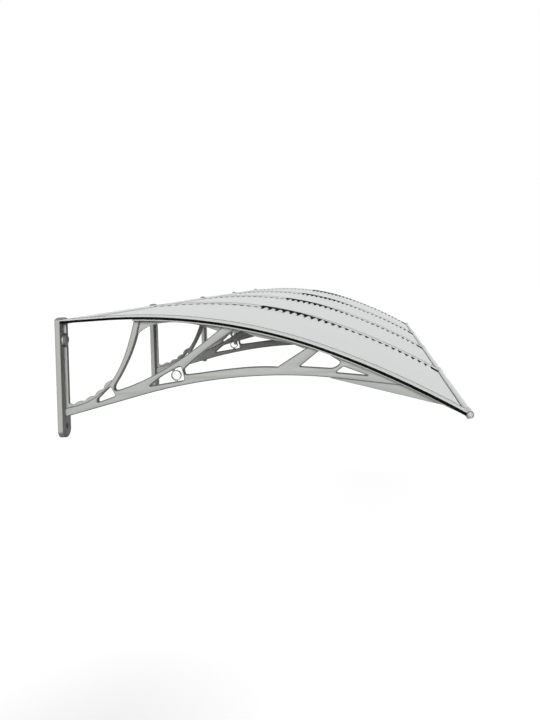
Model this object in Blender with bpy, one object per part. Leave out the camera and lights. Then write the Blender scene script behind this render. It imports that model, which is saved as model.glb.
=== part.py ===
"""Modular door canopy: arched polycarbonate panels on openwork wall brackets.

The canopy runs along X, its wall faces lie in the plane Y = 0 and it projects towards -Y.
A side section is drawn in two measures: d, the distance out from the wall, and h, the height
over a base line near the lower ends of the wall posts. Along the arch the same section is
measured by s, the length along the middle line of the seals, and n, the height square to that
line. Sizes are in metres, but for outlines given in squares of a drawing of the bracket.
"""

import math

import bmesh
import bpy
from mathutils import Vector
from mathutils.geometry import interpolate_bezier

# Layout
MODULES = 4
MODULE_WIDTH = 0.600
ORIGIN_HEIGHT = 0.140
FIT = 0.0003

# Arch: a short straight run out from the wall, then two arcs that bend down
ARCH_HEIGHT = 0.2760
ARCH_TILT = 2.135
STRAIGHT_RUN = 0.1124
REAR_ARC_RADIUS = 1.321
REAR_ARC_ANGLE = 24.15
FRONT_ARC_RADIUS = 2.400
FRONT_ARC_ANGLE = 8.84

# Wall post of a bracket
POST_WIDTH = 0.038
POST_DEPTH = 0.0130
POST_RISE = 0.0117
POST_FOOT = 0.0035
POST_ARCH = 0.006
SLOT_HEIGHT = 0.024
SLOT_WIDTH = 0.006
SLOT_LENGTH = 0.011
BOLT_HEIGHT = 0.232
BOLT_BORE = 0.0050
CAP_RADIUS = 0.0145
CAP_DOME = 0.0080
CAP_STEM = 0.0060

# Openwork of a bracket. Its outlines are drawn on squares, this many of them from the wall to
# the front rail's axis and up to the arch's foot
SQUARES_OUT = 988.0
SQUARES_UP = 276.0
FRAME_THICKNESS = 0.014
WEB_THICKNESS = 0.005
FLANGE_THICKNESS = 0.004
RIB_REACH = 0.0070
RIB_CLEARANCE = 0.0025
ARM_CROWN_D = 0.502
ARM_CROWN_H = 0.1302
ARM_RADIUS = 1.250
ARM_RISE_ANGLE = 14.0
ARM_FALL_ANGLE = 8.3
SCALLOPS = 5
SCALLOP_PITCH = 0.0280
SCALLOP_HEIGHT = 0.0055
SCALLOP_FOOT = 0.0040
EYELET_D = 0.2822
EYELET_H = 0.1377
EYELET_RADIUS = 0.0124
EYELET_WALL = 0.0021
EYELET_TAB = 0.0060
EYELET_TAB_REACH = 0.0065

# Panels, with ripples pressed into the far edge
PANEL_THICKNESS = 0.0020
RIPPLES = 39
RIPPLES_PER_FACET = 3
RIPPLE_CREST = 0.0058
RIPPLE_VALLEY = 0.0008
RIPPLE_FADE = 0.050
RIPPLE_FOOT = 0.0085
RIPPLE_MARGIN = 0.0015
RIPPLE_START = 0.018
RIPPLE_END = 0.020

# Seals and cover strips
SEAL_LIP = 0.0008
SEAL_PAD = 0.0016
SEAL_STEM = 0.0080
STRIP_THICKNESS = 0.0030
HOOK_THICKNESS = 0.0015
HOOK_END_ANGLE = -25

# Front rail, its cradle on a bracket and its end caps
RAIL_RADIUS = 0.0086
RAIL_WALL = 0.0016
RAIL_LIP = 0.0010
RAIL_MOUTH = 0.0036
RAIL_RISE = 0.0033
CRADLE_WALL = 0.0024
CRADLE_END_ANGLE = 283
END_CAP_DOME = 0.0046
END_PLUG_LENGTH = 0.012
SCREW_RADIUS = 0.0014
SCREW_HEAD_RADIUS = 0.0032
SCREW_HEAD_HEIGHT = 0.0016
SCREW_LENGTH = 0.009
CROSS_WIDTH = 0.0009
CROSS_DEPTH = 0.0008

# Rear rail between the posts
REAR_RAIL_BELOW = 0.0064
REAR_RAIL_ABOVE = 0.0060
REAR_RAIL_LIP = 0.0021
REAR_RAIL_GRIP = 0.0065

# Values that follow from the sizes above
HALF_POST = POST_WIDTH / 2
POST_HEIGHT = ARCH_HEIGHT + POST_RISE
SLOT_GAP = PANEL_THICKNESS + 2 * FIT
SEAL_HEIGHT = SEAL_LIP + SLOT_GAP + SEAL_PAD
SEAL_LOW = -SEAL_HEIGHT / 2
GAP_LOW = SEAL_LOW + SEAL_LIP
GAP_HIGH = GAP_LOW + SLOT_GAP
PANEL_LOW = GAP_LOW + FIT
PANEL_HIGH = PANEL_LOW + PANEL_THICKNESS
STRIP_LOW = SEAL_LOW + SEAL_HEIGHT + FIT
STRIP_HIGH = STRIP_LOW + STRIP_THICKNESS
FLANGE_HIGH = SEAL_LOW - FIT
FLANGE_LOW = FLANGE_HIGH - FLANGE_THICKNESS
FLANGE_MIDDLE = FLANGE_HIGH - FLANGE_THICKNESS / 2
REAR_ARC_END = STRAIGHT_RUN + REAR_ARC_RADIUS * math.radians(REAR_ARC_ANGLE)
RAIL_AT = REAR_ARC_END + FRONT_ARC_RADIUS * math.radians(FRONT_ARC_ANGLE)
RAIL_LEVEL = PANEL_LOW + PANEL_THICKNESS / 2 + RAIL_RISE
FLANGE_START = 0.187
REST_START = POST_DEPTH + FIT
REST_END = RAIL_AT - RAIL_RADIUS - 2 * FIT
PANEL_START = REST_START + FIT
PANEL_END = RAIL_AT - RAIL_MOUTH - FIT
RIPPLES_FROM = PANEL_START + RIPPLE_START
RIPPLES_TO = REST_END - RIPPLE_END
RIPPLE_PITCH = (RIPPLES_TO - RIPPLES_FROM) / RIPPLES


def remove_all():
    for obj in list(bpy.data.objects):
        bpy.data.objects.remove(obj)


def material(name, colour, roughness, metallic):
    made = bpy.data.materials.new(name)
    made.use_nodes = True
    shader = made.node_tree.nodes["Principled BSDF"]
    shader.inputs["Base Color"].default_value = (*colour, 1.0)
    shader.inputs["Roughness"].default_value = roughness
    shader.inputs["Metallic"].default_value = metallic
    return made


# Geometry of the side section


def arch(s):
    """The arch's middle line at length s: its d, its h and its slope angle, upward positive."""
    tilt = math.radians(ARCH_TILT)
    run = min(s, STRAIGHT_RUN)
    d = run * math.cos(tilt)
    h = ARCH_HEIGHT + run * math.sin(tilt)
    for start, end, radius in (
        (STRAIGHT_RUN, REAR_ARC_END, REAR_ARC_RADIUS),
        (REAR_ARC_END, RAIL_AT, FRONT_ARC_RADIUS),
    ):
        if s <= start:
            break
        after = tilt - (min(s, end) - start) / radius
        d += radius * (math.sin(tilt) - math.sin(after))
        h += radius * (math.cos(after) - math.cos(tilt))
        tilt = after
    return d, h, tilt


def on_arch(s, n):
    """The point (d, h) at height n over the arch's middle line."""
    d, h, tilt = arch(s)
    return d - n * math.sin(tilt), h + n * math.cos(tilt)


def facet_lengths(start, end):
    """Lengths between two ends at which every long piece has its facet lines, some ripples apart."""
    lines = [RIPPLES_FROM + RIPPLE_PITCH * i for i in range(0, RIPPLES + 1, RIPPLES_PER_FACET)]
    return [start] + [s for s in lines if start + 0.004 < s < end - 0.004] + [end]


def beside_rail(along, up):
    """The point (d, h) measured from the front rail's axis, along the arch and square to it."""
    d, h = on_arch(RAIL_AT, RAIL_LEVEL)
    tilt = arch(RAIL_AT)[2]
    out = along * math.cos(tilt) - up * math.sin(tilt)
    return d + out, h + along * math.sin(tilt) + up * math.cos(tilt)


def around_rail(radius, start, end, steps):
    """An arc about the front rail's axis, in degrees: 0 points on along the arch, 90 upwards."""
    points = []
    for i in range(steps + 1):
        angle = math.radians(start + (end - start) * i / steps)
        points.append(beside_rail(radius * math.cos(angle), radius * math.sin(angle)))
    return points


def squares(count):
    """The length of that many squares of the drawing, measured out from the wall."""
    return count * arch(RAIL_AT)[0] / SQUARES_OUT


def drawn(*points):
    """Points given in squares of the drawing, stretched to the arch's own reach and height."""
    up = ARCH_HEIGHT / SQUARES_UP
    return [(squares(d), h * up) for d, h in points]


def curve(*handles, steps=5):
    """A smooth stretch of an outline from the first point to the last, pulled by the other two."""
    knots = [Vector((*point, 0.0)) for point in drawn(*handles)]
    return [tuple(point.xy) for point in interpolate_bezier(*knots, steps + 1)]


def soft_corner(before, corner, after, reach, steps=2):
    """A corner cut back by reach on both sides and bridged by a parabola."""
    corner = Vector(corner)
    back = corner + (Vector(before) - corner).normalized() * reach
    front = corner + (Vector(after) - corner).normalized() * reach
    points = []
    for i in range(steps + 1):
        t = i / steps
        points.append(tuple(back * (1 - t) ** 2 + corner * 2 * t * (1 - t) + front * t * t))
    return points


def soft_outline(corners, *reaches):
    """A closed outline of straight sides, each corner rounded by its own reach."""
    points = []
    for i, corner in enumerate(corners):
        after = corners[(i + 1) % len(corners)]
        points += soft_corner(corners[i - 1], corner, after, squares(reaches[i]))
    return points


# Meshes


def world(x, d, h):
    return Vector((x, -d, h - ORIGIN_HEIGHT))


def finish_mesh(bm, name):
    """Merges doubles, turns the faces outwards and shades round faces smooth."""
    bmesh.ops.remove_doubles(bm, verts=bm.verts, dist=1e-6)
    bmesh.ops.recalc_face_normals(bm, faces=bm.faces)
    mesh = bpy.data.meshes.new(name)
    bm.to_mesh(mesh)
    bm.free()
    mesh.shade_smooth()
    mesh.set_sharp_from_angle(angle=math.radians(35))
    return mesh


def prism(corners, step, name):
    """A flat outline of points in space, extruded by a step."""
    bm = bmesh.new()
    face = bm.faces.new([bm.verts.new(corner) for corner in corners])
    grown = bmesh.ops.extrude_face_region(bm, geom=[face])["geom"]
    moved = [item for item in grown if isinstance(item, bmesh.types.BMVert)]
    bmesh.ops.translate(bm, verts=moved, vec=step)
    return finish_mesh(bm, name)


def plate(outline, x_from, x_to, name):
    """An outline of the side section extruded along X."""
    return prism([world(x_from, d, h) for d, h in outline], (x_to - x_from, 0, 0), name)


def wall_plate(outline, d_from, d_to, name):
    """An outline of (x, h) points extruded out from the wall."""
    return prism([world(x, d_from, h) for x, h in outline], (0, d_from - d_to, 0), name)


def swept(section, lengths, name):
    """A section of (x, n) points carried along the arch through the given lengths."""
    bm = bmesh.new()
    rings = [[bm.verts.new(world(x, *on_arch(s, n))) for x, n in section] for s in lengths]
    for ring, following in zip(rings, rings[1:]):
        for i in range(len(section)):
            j = i - 1
            bm.faces.new((ring[j], ring[i], following[i], following[j]))
    bm.faces.new(rings[0])
    bm.faces.new(rings[-1])
    return finish_mesh(bm, name)


def turned(profile, origin, axis, segments, name):
    """A profile of (distance along the axis, radius) points turned about the axis."""
    bm = bmesh.new()
    axis = Vector(axis)
    side = Vector((0, 0, 1))
    verts = [bm.verts.new(origin + axis * along + side * radius) for along, radius in profile]
    edges = [bm.edges.new(pair) for pair in zip(verts, verts[1:])]
    turn = 2 * math.pi
    bmesh.ops.spin(
        bm, geom=verts + edges, cent=origin, axis=axis, angle=turn, steps=segments, use_merge=True
    )
    return finish_mesh(bm, name)


def rod(radius, start, end, origin, axis, segments, name):
    """A plain cylinder between two distances along an axis."""
    profile = [(start, 0), (start, radius), (end, radius), (end, 0)]
    return turned(profile, origin, axis, segments, name)


def helper(mesh):
    """A shape that only joins or cuts another."""
    obj = bpy.data.objects.new(mesh.name, mesh)
    bpy.context.scene.collection.objects.link(obj)
    obj.hide_render = True
    obj.display_type = "WIRE"
    return obj


def combined(mesh, joins=(), cuts=()):
    """The mesh with others joined to it and then others cut from it, by exact Booleans."""
    body = helper(mesh)
    helpers = [helper(other) for other in (*joins, *cuts)]
    for number, other in enumerate(helpers):
        step = body.modifiers.new(f"step_{number}", "BOOLEAN")
        step.operation = "UNION" if number < len(joins) else "DIFFERENCE"
        step.solver = "EXACT"
        step.object = other
    graph = bpy.context.evaluated_depsgraph_get()
    made = bpy.data.meshes.new_from_object(body.evaluated_get(graph))
    for obj in (body, *helpers):
        bpy.data.objects.remove(obj)
    bm = bmesh.new()
    bm.from_mesh(made)
    bmesh.ops.dissolve_degenerate(bm, edges=bm.edges, dist=2e-6)
    return finish_mesh(bm, mesh.name)


def place(name, mesh, skin, x, parent):
    """A finished piece set at a distance x along the canopy."""
    obj = bpy.data.objects.new(name, mesh)
    bpy.context.scene.collection.objects.link(obj)
    obj.location = (x, 0, 0)
    obj.parent = parent
    if not mesh.materials:
        mesh.materials.append(skin)


# Bracket: a wall post, an openwork frame, a thin web and a flange, cast as one


def arm_underside():
    """Lower edge of the frame: straight off the post, a long shallow arch, then straight again."""
    rise = math.radians(ARM_RISE_ANGLE)
    fall = math.radians(ARM_FALL_ANGLE)
    steps = 8
    points = []
    for i in range(steps + 1):
        angle = rise - (rise + fall) * i / steps
        across = ARM_RADIUS * math.sin(angle)
        points.append((ARM_CROWN_D - across, ARM_CROWN_H - ARM_RADIUS * (1 - math.cos(angle))))
    inside_post = POST_DEPTH - 0.001
    first_d, first_h = points[0]
    last_d, last_h = points[-1]
    start = (inside_post, first_h - (first_d - inside_post) * math.tan(rise))
    s = RAIL_AT
    while True:
        d, h = on_arch(s, FLANGE_MIDDLE)
        if h > last_h - (d - last_d) * math.tan(fall):
            return [start, *points, (d, h)]
        s -= 0.001


def arm_sweep(steps=9):
    """Upper edge of the arm, from beside the post up into the first strut."""
    return curve((23, 70.3), (130, 85.3), (161.3, 179.8), (185.2, 275), steps=steps)


def frame_outline():
    """The frame before its openings: arm, struts and all between them up to the flange."""
    under = arm_underside()
    end_d = under[-1][0]
    over = [on_arch(s, FLANGE_MIDDLE) for s in facet_lengths(FLANGE_START + 0.001, RAIL_AT)]
    over = [point for point in over if point[0] < end_d - 0.004]
    return under + over[::-1] + arm_sweep()[::-1] + drawn((21, 67))


def frame_openings():
    """The openings between the struts. The two large ones run on past the flange."""
    bottom = drawn((132, 105))[0]
    left = curve((135.3, 120), (166.3, 167), (189.3, 217), (199.3, 272))
    right = curve((145, 108), (238, 134.5), (321, 191), (399, 252))
    foot = soft_corner(left[0], bottom, right[0], squares(9))
    above = drawn((440, 282), (440, 310), (201, 310))
    second_bay = left[::-1] + foot[1:-1] + right + above

    left = curve((303.5, 153), (337, 186), (381, 213), (423, 241))
    floor = curve((310, 139), (372, 144.5), (454, 157.3), (529, 150.3))
    right = curve((529, 150.3), (553, 165.5), (578, 180), (602, 195))
    nose = soft_corner(left[0], drawn((301, 141))[0], floor[0], squares(6))
    above = drawn((640, 226), (640, 300), (505, 300))
    long_bay = left[::-1] + nose[1:-1] + floor + right[1:] + above

    corners = drawn((123.3, 116.5), (135.3, 93.2), (91, 79), (92, 87.5))
    root_hole = soft_outline(corners, 5, 6, 4, 3)
    corners = drawn((218, 114), (304, 125.5), (295, 161), (246, 136))
    eyelet_bay = soft_outline(corners, 4, 8, 6, 10)
    corners = drawn((583.5, 149.8), (630.5, 186), (652, 178.2), (683, 157), (668, 141.8))
    fourth_bay = soft_outline(corners, 3, 5, 6, 7, 14)
    corners = drawn((688.5, 146.5), (748, 122.5), (669.5, 132.2))
    tip_hole = soft_outline(corners, 3, 3, 5)
    return [second_bay, long_bay, root_hole, eyelet_bay, fourth_bay, tip_hole]


def scalloped_web():
    """Web over the arm beside the post: its free edge rises in round scallops along the sweep."""
    base = [Vector(point) for point in arm_sweep(96)]
    reached = 0.0
    start = -SCALLOP_PITCH * 0.49
    edge = []
    inner = []
    quarter = 0
    for here, ahead in zip(base, base[1:]):
        forward = (ahead - here).normalized()
        square = Vector((-forward.y, forward.x))
        while start + SCALLOP_PITCH * quarter / 4 < reached + (ahead - here).length:
            along = start + SCALLOP_PITCH * quarter / 4
            if quarter > SCALLOPS * 4:
                return edge + inner[::-1]
            wave = abs(math.sin(math.pi * quarter / 4))
            foot = here + forward * (along - reached)
            edge.append(tuple(foot + square * (SCALLOP_FOOT + SCALLOP_HEIGHT * wave)))
            if quarter % 4 == 0:
                inner.append(tuple(foot - square * FRAME_THICKNESS / 4))
            quarter += 1
        reached += (ahead - here).length
    return edge + inner[::-1]


def post_ribs():
    """Web along the front of the post, left out around the cap of the upper bolt."""
    inside = POST_DEPTH - 0.001
    front = POST_DEPTH + RIB_REACH
    low_end = BOLT_HEIGHT - CAP_RADIUS - RIB_CLEARANCE
    high_start = BOLT_HEIGHT + CAP_RADIUS + RIB_CLEARANCE
    high_end = on_arch(front, SEAL_LOW - FIT)[1]
    root = drawn((12, 47.5), (24, 55), (27, 68), (20, 80))
    lower = [*root, (front, low_end), (inside, low_end)]
    upper = [(inside, high_start), (front, high_start), (front, high_end), (inside, high_end)]
    return [lower, upper]


def under_flange(d_from, d_to, depth):
    """Points at a depth below the flange's underside, between two distances, all in squares."""
    lengths = [RAIL_AT * i / 1000 for i in range(1001)]
    s_from = next(s for s in lengths if arch(s)[0] >= squares(d_from))
    s_to = next(s for s in lengths if arch(s)[0] >= squares(d_to))
    return [on_arch(s, FLANGE_LOW - squares(depth)) for s in facet_lengths(s_from, s_to)]


def rear_web():
    """Web below the flange, from the first strut over the long bay to the front struts."""
    lower = curve((188, 236), (222, 277), (292, 270), (352, 255.5))
    lower += drawn((396, 238), (430, 238)) + curve((441, 243), (486, 212), (545, 219.5), (592, 192.5))
    lower += under_flange(612, 700, 1.2)
    over = [on_arch(s, FLANGE_MIDDLE) for s in facet_lengths(FLANGE_START + 0.004, RAIL_AT)]
    over = [point for point in over if point[0] < lower[-1][0] - 0.004]
    return lower + over[::-1]


def front_web():
    """Web that carries the arm on to the front rail, tapering away under the flange."""
    lower = drawn((645, 125)) + curve((660, 117.5), (740, 95.5), (838, 69), (895, 52.8))
    lower += under_flange(938, 968, 0.4)
    over = [on_arch(s, FLANGE_MIDDLE) for s in facet_lengths(squares(800), RAIL_AT - squares(12))]
    return lower + over[::-1] + drawn((748, 115), (690, 122))


def eyelet_tabs():
    """Two short webs that tie the eyelet to the arm below it and to the strut above it."""
    tabs = []
    for turn in (268, 118):
        out = Vector((math.cos(math.radians(turn)), math.sin(math.radians(turn))))
        side = Vector((-out.y, out.x)) * EYELET_TAB / 2
        near = Vector((EYELET_D, EYELET_H)) + out * (EYELET_RADIUS - EYELET_WALL / 2)
        far = near + out * (EYELET_WALL / 2 + EYELET_TAB_REACH)
        tabs.append([tuple(point) for point in (near + side, near - side, far - side, far + side)])
    return tabs


def post_outline():
    """A flat bar with a full round lower end and a gently arched top, as (x, h) points."""
    points = []
    for i in range(11):
        angle = math.pi * (1 + i / 10)
        points.append((HALF_POST * math.cos(angle), HALF_POST * (1 + math.sin(angle)) - POST_FOOT))
    for i in range(7):
        angle = math.pi * i / 6
        arch_height = POST_HEIGHT - POST_ARCH * (1 - math.sin(angle))
        points.append((HALF_POST * math.cos(angle), arch_height))
    return points


def slot_outline():
    """An upright slot with round ends, as (x, h) points."""
    radius = SLOT_WIDTH / 2
    points = []
    for side, turn in ((1, 0), (-1, 1)):
        middle = SLOT_HEIGHT + side * (SLOT_LENGTH / 2 - radius)
        for i in range(4):
            angle = math.pi * (turn + i / 3)
            points.append((radius * math.cos(angle), middle + radius * math.sin(angle)))
    return points


def bracket_mesh():
    frame = plate(frame_outline(), -FRAME_THICKNESS / 2, FRAME_THICKNESS / 2, "bracket")
    openings = [
        plate(outline, -FRAME_THICKNESS, FRAME_THICKNESS, "opening") for outline in frame_openings()
    ]
    frame = combined(frame, cuts=openings)

    half_web = WEB_THICKNESS / 2
    webs = [*post_ribs(), *eyelet_tabs(), scalloped_web(), rear_web(), front_web()]
    flange = [(-HALF_POST, FLANGE_LOW), (HALF_POST, FLANGE_LOW)]
    flange += [(HALF_POST, FLANGE_HIGH), (-HALF_POST, FLANGE_HIGH)]
    inner = RAIL_RADIUS + FIT
    cradle = around_rail(inner + CRADLE_WALL, 215, CRADLE_END_ANGLE, 4)
    cradle += around_rail(inner - FIT, CRADLE_END_ANGLE, 215, 4)
    eyelet_at = world(-half_web, EYELET_D, EYELET_H)
    bore = EYELET_RADIUS - EYELET_WALL
    eyelet = [(0, bore), (0, EYELET_RADIUS), (WEB_THICKNESS, EYELET_RADIUS)]
    eyelet += [(WEB_THICKNESS, bore), (0, bore)]
    joins = [
        wall_plate(post_outline(), 0, POST_DEPTH, "post"),
        *(plate(outline, -half_web, half_web, "web") for outline in webs),
        swept(flange, facet_lengths(FLANGE_START, RAIL_AT - 0.001), "flange"),
        plate(cradle, -HALF_POST, HALF_POST, "cradle"),
        turned(eyelet, eyelet_at, (1, 0, 0), 16, "eyelet"),
    ]
    rail_axis = world(0, *beside_rail(0, 0))
    bolt_axis = world(0, 0, BOLT_HEIGHT)
    cuts = [
        rod(inner, -POST_WIDTH, POST_WIDTH, rail_axis, (1, 0, 0), 24, "rail_bed"),
        rod(BOLT_BORE, -0.01, 0.03, bolt_axis, (0, -1, 0), 12, "bolt_bore"),
        wall_plate(slot_outline(), -0.01, 0.03, "slot"),
    ]
    return combined(frame, joins, cuts)


def bolt_cap_mesh():
    """Domed cap over the upper wall bolt, with a stem pushed into the bore."""
    stem = BOLT_BORE - FIT
    profile = [(-CAP_STEM, 0), (-CAP_STEM, stem), (FIT, stem)]
    profile += [(FIT, CAP_RADIUS), (CAP_DOME * 0.25, CAP_RADIUS)]
    for turn in (35, 65):
        angle = math.radians(turn)
        height = CAP_DOME * (0.25 + 0.75 * math.sin(angle))
        profile.append((height, CAP_RADIUS * math.cos(angle)))
    profile.append((CAP_DOME, 0))
    return turned(profile, world(0, POST_DEPTH, BOLT_HEIGHT), (0, -1, 0), 16, "bolt_cap")


# Seals, cover strips and panels


def seal_mesh(open_near, open_far):
    """Rubber profile between flange and strip, with a slot on each side that holds a panel."""
    stem = SEAL_STEM / 2
    high = SEAL_LOW + SEAL_HEIGHT
    section = [(-HALF_POST, SEAL_LOW), (HALF_POST, SEAL_LOW)]
    if open_far:
        section += [(HALF_POST, GAP_LOW), (stem, GAP_LOW), (stem, GAP_HIGH), (HALF_POST, GAP_HIGH)]
    section += [(HALF_POST, high), (-HALF_POST, high)]
    if open_near:
        section += [(-HALF_POST, GAP_HIGH), (-stem, GAP_HIGH), (-stem, GAP_LOW), (-HALF_POST, GAP_LOW)]
    return swept(section, facet_lengths(REST_START, REST_END), "seal")


def strip_mesh():
    """Flat bar bent to the arch, thinned at its front end into a hook over the front rail."""
    inner = RAIL_RADIUS + FIT
    outer = inner + HOOK_THICKNESS
    low_level = STRIP_LOW - RAIL_LEVEL
    high_level = STRIP_HIGH - RAIL_LEVEL
    low_angle = 180 - math.degrees(math.asin(low_level / inner))
    high_angle = 180 - math.degrees(math.asin(high_level / outer))
    low_end = RAIL_AT - math.sqrt(inner**2 - low_level**2)
    high_end = RAIL_AT - math.sqrt(outer**2 - high_level**2)
    outline = [on_arch(s, STRIP_LOW) for s in facet_lengths(REST_START, low_end)[:-1]]
    outline += around_rail(inner, low_angle, HOOK_END_ANGLE, 10)
    outline += around_rail(outer, HOOK_END_ANGLE, high_angle, 9)
    outline += [on_arch(s, STRIP_HIGH) for s in facet_lengths(REST_START, high_end)[-2::-1]]
    return plate(outline, -HALF_POST, HALF_POST, "cover_strip")


def ripple(s):
    """Height of the rippled line over the panel: round crests with sharp, slightly raised valleys."""
    if not RIPPLES_FROM + 1e-6 < s < RIPPLES_TO - 1e-6:
        return 0.0
    wave = abs(math.sin(math.pi * (s - RIPPLES_FROM) / RIPPLE_PITCH))
    return RIPPLE_VALLEY + (RIPPLE_CREST - RIPPLE_VALLEY) * wave


def joined_rows(bm, first, second):
    """Triangles between two rows of (length, vertex) pairs that need not have like counts."""
    i = j = 0
    while i < len(first) - 1 or j < len(second) - 1:
        next_first = first[i + 1][0] if i < len(first) - 1 else math.inf
        next_second = second[j + 1][0] if j < len(second) - 1 else math.inf
        if next_first <= next_second:
            bm.faces.new((first[i][1], first[i + 1][1], second[j][1]))
            i += 1
        else:
            bm.faces.new((first[i][1], second[j + 1][1], second[j][1]))
            j += 1


def panel_mesh():
    """Sheet bent to the arch. The ripples along its far edge fade out inwards."""
    near = SEAL_STEM / 2 + FIT
    foot = MODULE_WIDTH - HALF_POST - RIPPLE_MARGIN
    crest = foot - RIPPLE_FOOT
    fade = crest - RIPPLE_FADE
    ends = (PANEL_START, PANEL_END)
    plain = facet_lengths(*ends)
    valleys = [RIPPLES_FROM + RIPPLE_PITCH * i for i in range(RIPPLES + 1)]
    waves = [RIPPLES_FROM + RIPPLE_PITCH * i / 3 for i in range(RIPPLES * 3 + 1)]
    valleys = [ends[0], *valleys, ends[1]]
    waves = [ends[0], *waves, ends[1]]
    rows = [(near, plain, 0), (fade, valleys, 0), (crest, waves, 1), (foot, plain, 0)]
    rows.append((MODULE_WIDTH - near, plain, 0))

    bm = bmesh.new()
    layers = []
    for level in (PANEL_LOW, PANEL_HIGH):
        layer = []
        for x, lengths, rise in rows:
            points = [on_arch(s, level + rise * ripple(s)) for s in lengths]
            layer.append([(s, bm.verts.new(world(x, *at))) for s, at in zip(lengths, points)])
        layers.append(layer)
        for row, following in zip(layer, layer[1:]):
            joined_rows(bm, row, following)
    below, above = layers
    for side in (0, -1):
        joined_rows(bm, below[side], above[side])
    for end in (0, -1):
        for row in range(len(rows) - 1):
            corners = [below[row][end], below[row + 1][end], above[row + 1][end], above[row][end]]
            bm.faces.new([vert for _, vert in corners])
    return finish_mesh(bm, "panel")


# Rails along the front and rear edges


def front_rail_outline():
    """Round tube with a slot at its back, whose two lips grip the front edge of the panels."""
    low = -RAIL_RISE - SLOT_GAP / 2
    high = -RAIL_RISE + SLOT_GAP / 2
    inner = RAIL_RADIUS - RAIL_WALL
    outer_low, outer_high = (180 + math.degrees(math.asin(-v / RAIL_RADIUS)) for v in (low, high))
    inner_low = 180 + math.degrees(math.asin((RAIL_LIP - low) / inner))
    inner_high = 180 - math.degrees(math.asin((high + RAIL_LIP) / inner))
    outline = around_rail(RAIL_RADIUS, outer_low, outer_high + 360, 16)
    outline += [beside_rail(-RAIL_MOUTH, high), beside_rail(-RAIL_MOUTH, high + RAIL_LIP)]
    outline += around_rail(inner, inner_high + 360, inner_low, 12)
    outline += [beside_rail(-RAIL_MOUTH, low - RAIL_LIP), beside_rail(-RAIL_MOUTH, low)]
    return outline


def rear_rail_outline():
    """Low hump along the wall, with a slot in its front for the rear edge of the panels."""
    slope = math.tan(math.radians(ARCH_TILT))
    mouth = PANEL_START + REAR_RAIL_GRIP
    bottom = PANEL_START - FIT
    points = [(0, -REAR_RAIL_BELOW), (bottom * 0.8, -REAR_RAIL_BELOW), (mouth, GAP_LOW - REAR_RAIL_LIP)]
    points += [(mouth, GAP_LOW), (bottom, GAP_LOW), (bottom, GAP_HIGH), (mouth, GAP_HIGH)]
    points += [(mouth, GAP_HIGH + REAR_RAIL_LIP), (bottom, REAR_RAIL_ABOVE * 0.85)]
    points += [(bottom * 0.65, REAR_RAIL_ABOVE), (0, REAR_RAIL_ABOVE)]
    return [(d, ARCH_HEIGHT + d * slope + n) for d, n in points]


def end_cap_mesh(side):
    """Domed cap on an end of the front rail, with a plug in the tube ahead of its lips."""
    axis = (side, 0, 0)
    centre = world(0, *beside_rail(0, 0))
    top = FIT + END_CAP_DOME
    profile = [(FIT, 0), (FIT, RAIL_RADIUS), (FIT + END_CAP_DOME * 0.25, RAIL_RADIUS)]
    for turn in (30, 55):
        angle = math.radians(turn)
        height = FIT + END_CAP_DOME * (0.25 + 0.75 * math.sin(angle) / math.sin(math.radians(64)))
        profile.append((height, RAIL_RADIUS * math.cos(angle)))
    profile += [(top, RAIL_RADIUS * 0.44), (top, 0)]
    dome = turned(profile, centre, axis, 18, "rail_end_cap")
    inner = RAIL_RADIUS - RAIL_WALL - FIT
    cut = math.degrees(math.acos(-(RAIL_MOUTH - FIT) / inner))
    plug = plate(around_rail(inner, -cut, cut, 11), -side * END_PLUG_LENGTH, side * 0.001, "plug")
    hole = rod(SCREW_RADIUS + FIT, -SCREW_LENGTH - FIT, 0.02, centre, axis, 10, "screw_hole")
    return combined(dome, [plug], [hole])


def rail_screw_mesh(side):
    """Pan-head screw on the front rail's axis, with a cross recess."""
    centre = world(0, *beside_rail(0, 0))
    seat = FIT + END_CAP_DOME + FIT
    top = seat + SCREW_HEAD_HEIGHT
    profile = [(-SCREW_LENGTH, 0), (-SCREW_LENGTH + 0.002, SCREW_RADIUS), (seat, SCREW_RADIUS)]
    profile += [(seat, SCREW_HEAD_RADIUS), (seat + SCREW_HEAD_HEIGHT * 0.5, SCREW_HEAD_RADIUS)]
    profile += [(top, SCREW_HEAD_RADIUS * 0.65), (top, 0)]
    body = turned(profile, centre, (side, 0, 0), 12, "rail_cap_screw")
    cuts = []
    for turn in (45, 135):
        along = Vector((0, math.cos(math.radians(turn)), math.sin(math.radians(turn))))
        across = Vector((0, -along.z, along.y))
        long, short = SCREW_HEAD_RADIUS * 0.6, CROSS_WIDTH / 2
        start = centre + Vector((side * (top - CROSS_DEPTH), 0, 0))
        signs = ((-1, -1), (1, -1), (1, 1), (-1, 1))
        corners = [start + along * (a * long) + across * (b * short) for a, b in signs]
        cuts.append(prism(corners, (side * 0.004, 0, 0), "cross"))
    return combined(body, cuts=cuts)


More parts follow.
